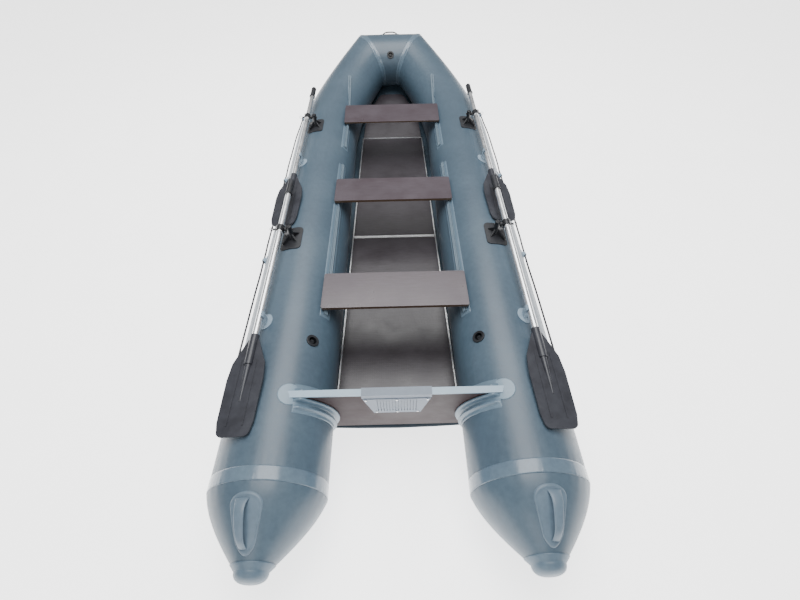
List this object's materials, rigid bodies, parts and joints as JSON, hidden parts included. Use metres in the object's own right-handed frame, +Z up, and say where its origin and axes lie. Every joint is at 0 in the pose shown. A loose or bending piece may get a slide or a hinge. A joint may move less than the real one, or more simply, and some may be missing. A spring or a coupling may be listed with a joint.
{
  "type": "inflatable dinghy",
  "caption": "Open inflatable boat with round side tubes joined by a bow segment, board floor, wooden transom, sliding bench seats and stowed oars.",
  "frame": {"origin": "middle of the footprint on the ground under the tubes, measured without the grab lines", "axes": "+X starboard, +Y towards the bow, +Z up"},
  "size_m": [1.6244, 4.4172, 0.6761],
  "materials": {
    "tube_fabric": "satin",
    "glossy_tape": "gloss",
    "dark_rubber": "satin",
    "strake_rubber": "satin",
    "pale_rubber": "satin",
    "handle_rubber": "satin",
    "cap_plastic": "matte",
    "deck_ply": "anti-slip film",
    "seat_ply": "film",
    "transom_ply": "film",
    "pad_plastic": "matte",
    "black_plastic": "satin",
    "blade_plastic": "satin",
    "aluminium": "anodised",
    "steel": "satin",
    "rope": "braided",
    "inner_cloth": "matte"
  },
  "bodies": {
    "hull": {"starboard_tube": "tube_fabric", "port_tube": "tube_fabric", "bow_tube": "tube_fabric", "stern_cones": "tube_fabric", "cone_end_caps": "cap_plastic", "cone_handles": "handle_rubber", "chamber_walls": "inner_cloth", "seam_tapes": "glossy_tape", "rub_strakes": "strake_rubber", "hull_bottom": "tube_fabric", "keelson": "inner_cloth", "floor_panels": "deck_ply", "floor_bow_panel": "deck_ply", "floor_cross_profiles": "aluminium", "floor_side_stringers": "aluminium", "transom_board": "transom_ply", "transom_top_cap": "aluminium", "transom_sleeves": "pale_rubber", "motor_pads": "pad_plastic", "motor_pad_screws": "steel", "seat_rails": "pale_rubber", "valve_bodies": "black_plastic", "bow_carry_handle": "dark_rubber", "towing_ring": "steel", "rope_eyelets": "pale_rubber", "starboard_grab_line": "rope", "port_grab_line": "rope", "oarlock_bases": "dark_rubber", "oar_clips": "pale_rubber"},
    "aft_seat": {"aft_seat_board": "seat_ply", "aft_seat_sliders": "dark_rubber"},
    "middle_seat": {"middle_seat_board": "seat_ply", "middle_seat_sliders": "dark_rubber"},
    "bow_seat": {"bow_seat_board": "seat_ply", "bow_seat_sliders": "dark_rubber"},
    "starboard_aft_swivel": {"starboard_aft_swivel": "black_plastic"},
    "starboard_aft_collar": {"starboard_aft_collar": "black_plastic"},
    "starboard_aft_oar": {"starboard_aft_oar_shaft": "aluminium", "starboard_aft_oar_grip": "black_plastic", "starboard_aft_oar_blade": "blade_plastic"},
    "starboard_fore_swivel": {"starboard_fore_swivel": "black_plastic"},
    "starboard_fore_collar": {"starboard_fore_collar": "black_plastic"},
    "starboard_fore_oar": {"starboard_fore_oar_shaft": "aluminium", "starboard_fore_oar_grip": "black_plastic", "starboard_fore_oar_blade": "blade_plastic"},
    "port_aft_swivel": {"port_aft_swivel": "black_plastic"},
    "port_aft_collar": {"port_aft_collar": "black_plastic"},
    "port_aft_oar": {"port_aft_oar_shaft": "aluminium", "port_aft_oar_grip": "black_plastic", "port_aft_oar_blade": "blade_plastic"},
    "port_fore_swivel": {"port_fore_swivel": "black_plastic"},
    "port_fore_collar": {"port_fore_collar": "black_plastic"},
    "port_fore_oar": {"port_fore_oar_shaft": "aluminium", "port_fore_oar_grip": "black_plastic", "port_fore_oar_blade": "blade_plastic"},
    "starboard_valve_plunger": {"starboard_valve_plunger": "black_plastic"},
    "port_valve_plunger": {"port_valve_plunger": "black_plastic"},
    "bow_valve_plunger": {"bow_valve_plunger": "black_plastic"}
  },
  "joints": [
    {"name": "aft_seat_slide", "type": "slide", "parent": "hull", "child": "aft_seat", "axis": [0, 1, 0], "range_m": [-0.01, 0.31]},
    {"name": "middle_seat_slide", "type": "slide", "parent": "hull", "child": "middle_seat", "axis": [0, 1, 0], "range_m": [-0.31, 0.218]},
    {"name": "bow_seat_slide", "type": "hinge", "parent": "hull", "child": "bow_seat", "pos_m": [0, 0.8144, 2.01075], "axis": [1, 0, 0], "range_deg": [-1.4, 8]},
    {"name": "starboard_aft_oar_swing", "type": "hinge", "parent": "hull", "child": "starboard_aft_swivel", "pos_m": [0.581, -0.5656, 0.545], "axis": [0, 0, 1], "range_deg": [0, 100]},
    {"name": "starboard_aft_oar_dip", "type": "hinge", "parent": "starboard_aft_swivel", "child": "starboard_aft_collar", "pos_m": [0.632, -0.5656, 0.545], "axis": [0.9998, 0.0175, 0], "range_deg": [0, 15]},
    {"name": "starboard_aft_oar_feather", "type": "hinge", "parent": "starboard_aft_collar", "child": "starboard_aft_oar", "pos_m": [0.632, -0.5656, 0.545], "axis": [-0.0174, 0.9982, 0.0576], "range_deg": [0, 82]},
    {"name": "starboard_fore_oar_swing", "type": "hinge", "parent": "hull", "child": "starboard_fore_swivel", "pos_m": [0.581, 0.7244, 0.545], "axis": [0, 0, 1], "range_deg": [0, 100]},
    {"name": "starboard_fore_oar_dip", "type": "hinge", "parent": "starboard_fore_swivel", "child": "starboard_fore_collar", "pos_m": [0.632, 0.7244, 0.545], "axis": [0.9998, 0.0175, 0], "range_deg": [0, 15]},
    {"name": "starboard_fore_oar_feather", "type": "hinge", "parent": "starboard_fore_collar", "child": "starboard_fore_oar", "pos_m": [0.632, 0.7244, 0.545], "axis": [-0.0174, 0.9982, 0.0576], "range_deg": [0, 82]},
    {"name": "port_aft_oar_swing", "type": "hinge", "parent": "hull", "child": "port_aft_swivel", "pos_m": [-0.581, -0.5656, 0.545], "axis": [0, 0, -1], "range_deg": [0, 100]},
    {"name": "port_aft_oar_dip", "type": "hinge", "parent": "port_aft_swivel", "child": "port_aft_collar", "pos_m": [-0.632, -0.5656, 0.545], "axis": [0.9998, -0.0175, 0], "range_deg": [0, 15]},
    {"name": "port_aft_oar_feather", "type": "hinge", "parent": "port_aft_collar", "child": "port_aft_oar", "pos_m": [-0.632, -0.5656, 0.545], "axis": [-0.0174, -0.9982, -0.0576], "range_deg": [0, 82]},
    {"name": "port_fore_oar_swing", "type": "hinge", "parent": "hull", "child": "port_fore_swivel", "pos_m": [-0.581, 0.7244, 0.545], "axis": [0, 0, -1], "range_deg": [0, 100]},
    {"name": "port_fore_oar_dip", "type": "hinge", "parent": "port_fore_swivel", "child": "port_fore_collar", "pos_m": [-0.632, 0.7244, 0.545], "axis": [0.9998, -0.0175, 0], "range_deg": [0, 15]},
    {"name": "port_fore_oar_feather", "type": "hinge", "parent": "port_fore_collar", "child": "port_fore_oar", "pos_m": [-0.632, 0.7244, 0.545], "axis": [-0.0174, -0.9982, -0.0576], "range_deg": [0, 82]},
    {"name": "starboard_valve_push", "type": "slide", "parent": "hull", "child": "starboard_valve_plunger", "axis": [0.5878, 0, -0.809], "range_m": [0, 0.006], "stiffness_N_per_m": 300},
    {"name": "port_valve_push", "type": "slide", "parent": "hull", "child": "port_valve_plunger", "axis": [-0.5878, 0, -0.809], "range_m": [0, 0.006], "stiffness_N_per_m": 300},
    {"name": "bow_valve_push", "type": "slide", "parent": "hull", "child": "bow_valve_plunger", "axis": [0, 0.8387, -0.5446], "range_m": [0, 0.006], "stiffness_N_per_m": 300}
  ],
  "couplings": [
    {"joint": "starboard_aft_oar_dip", "follows": "starboard_aft_oar_swing", "ratio": 0.15},
    {"joint": "starboard_aft_oar_feather", "follows": "starboard_aft_oar_swing", "ratio": 0.82},
    {"joint": "starboard_fore_oar_dip", "follows": "starboard_fore_oar_swing", "ratio": 0.15},
    {"joint": "starboard_fore_oar_feather", "follows": "starboard_fore_oar_swing", "ratio": 0.82},
    {"joint": "port_aft_oar_dip", "follows": "port_aft_oar_swing", "ratio": 0.15},
    {"joint": "port_aft_oar_feather", "follows": "port_aft_oar_swing", "ratio": 0.82},
    {"joint": "port_fore_oar_dip", "follows": "port_fore_oar_swing", "ratio": 0.15},
    {"joint": "port_fore_oar_feather", "follows": "port_fore_oar_swing", "ratio": 0.82}
  ]
}
